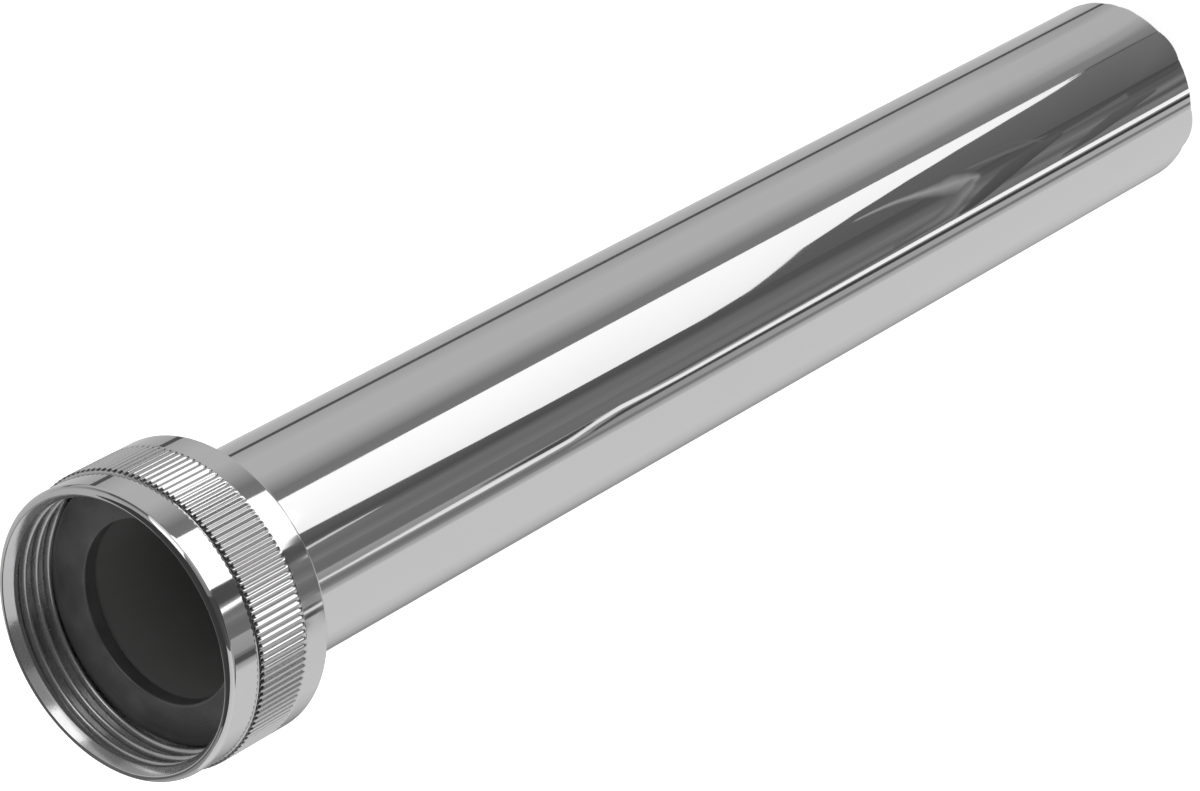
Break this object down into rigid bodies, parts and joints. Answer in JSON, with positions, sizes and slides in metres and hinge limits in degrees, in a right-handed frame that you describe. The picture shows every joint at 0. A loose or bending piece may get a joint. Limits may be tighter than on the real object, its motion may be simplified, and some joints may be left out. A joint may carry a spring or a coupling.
{
  "type": "basin waste tail pipe",
  "caption": "Straight chromed tail pipe for a basin waste, with a flanged end, a flat sealing washer and a loose knurled union nut.",
  "frame": {"origin": "centre of the tube's plain end, on the surface that the part stands on", "axes": "+Z along the tube from the plain end to the mouth of the union nut; X and Y are free, because the part is round"},
  "size_m": [0.044, 0.044, 0.2513],
  "materials": {
    "chromed_tube": "polished chrome plate on brass tube",
    "washer_rubber": "satin dark grey rubber",
    "chromed_nut": "polished chrome plate on turned brass"
  },
  "bodies": {
    "pipe": {"tail_pipe": "chromed_tube", "sealing_washer": "washer_rubber"},
    "nut": {"union_nut": "chromed_nut"}
  },
  "joints": [
    {"name": "nut_turn", "type": "hinge", "parent": "pipe", "child": "nut", "pos_m": [0, 0, 0.2425], "axis": [0, 0, 1], "continuous": true}
  ]
}
